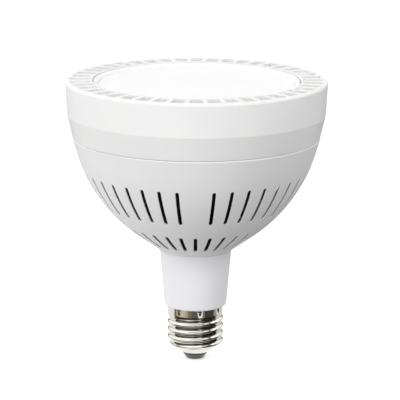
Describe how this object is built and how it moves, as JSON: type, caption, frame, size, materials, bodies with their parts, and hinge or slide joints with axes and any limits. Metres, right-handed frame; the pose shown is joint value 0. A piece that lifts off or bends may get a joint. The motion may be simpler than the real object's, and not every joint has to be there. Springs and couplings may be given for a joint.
{
  "type": "pool light bulb",
  "caption": "White reflector-shaped pool light bulb with a slotted bowl, slotted bezel, frosted flat lens, neck and screw cap.",
  "frame": {"origin": "middle of the centre contact's underside, on the lamp's axis", "axes": "+Z along the lamp's axis from the screw cap up to the lens; the blank panel between slots of the upper row faces -Y"},
  "size_m": [0.12, 0.12, 0.1334],
  "materials": {
    "casing": "satin moulded white",
    "bowl": "fine-textured moulded white",
    "lens": "frosted white diffuser",
    "gasket": "soft silicone",
    "reflector": "gloss white",
    "lamp_board": "white solder mask on aluminium",
    "lamps": "phosphor yellow",
    "pad": "grey-blue silicone",
    "heat_sink": "black anodised",
    "black_plastic": "satin black",
    "insulator": "gloss black",
    "magnet": "bonded ferrite",
    "steel": "zinc plated",
    "bronze": "sintered",
    "windings": "enamelled wire",
    "board": "green laminate",
    "ferrite": "dark ferrite and tape",
    "can": "sleeved can",
    "film": "dipped",
    "nickel": "nickel plated",
    "wire_white": "insulation",
    "wire_black": "insulation",
    "wire_red": "insulation"
  },
  "bodies": {
    "housing": {"front_bezel": "casing", "lens": "lens", "lens_gasket": "gasket", "reflector": "reflector", "thermal_pad": "pad", "led_board": "lamp_board", "led_chips": "lamps", "board_screws": "steel", "heat_sink": "heat_sink", "bezel_screws": "steel", "fan_frame": "black_plastic", "fan_bearing": "bronze", "fan_stator": "windings", "fan_screws": "steel", "rear_cover": "bowl", "neck_sleeve": "casing", "driver_lid": "black_plastic", "driver_board": "board", "transformer": "ferrite", "bulk_capacitor": "can", "output_capacitor": "can", "film_capacitor": "film", "input_choke": "windings", "bridge_rectifier": "black_plastic", "fuse_resistor": "film", "driver_chip": "black_plastic", "screw_shell": "nickel", "cap_insulator": "insulator", "centre_contact": "nickel", "live_wire": "wire_black", "neutral_wire": "wire_white", "led_wires": "wire_red", "fan_lead": "wire_red"},
    "rotor": {"fan_rotor": "black_plastic", "rotor_magnet": "magnet", "fan_shaft": "steel"}
  },
  "joints": [
    {"name": "fan_spin", "type": "hinge", "parent": "housing", "child": "rotor", "pos_m": [0, 0, 0.0877], "axis": [0, 0, 1], "continuous": true}
  ]
}
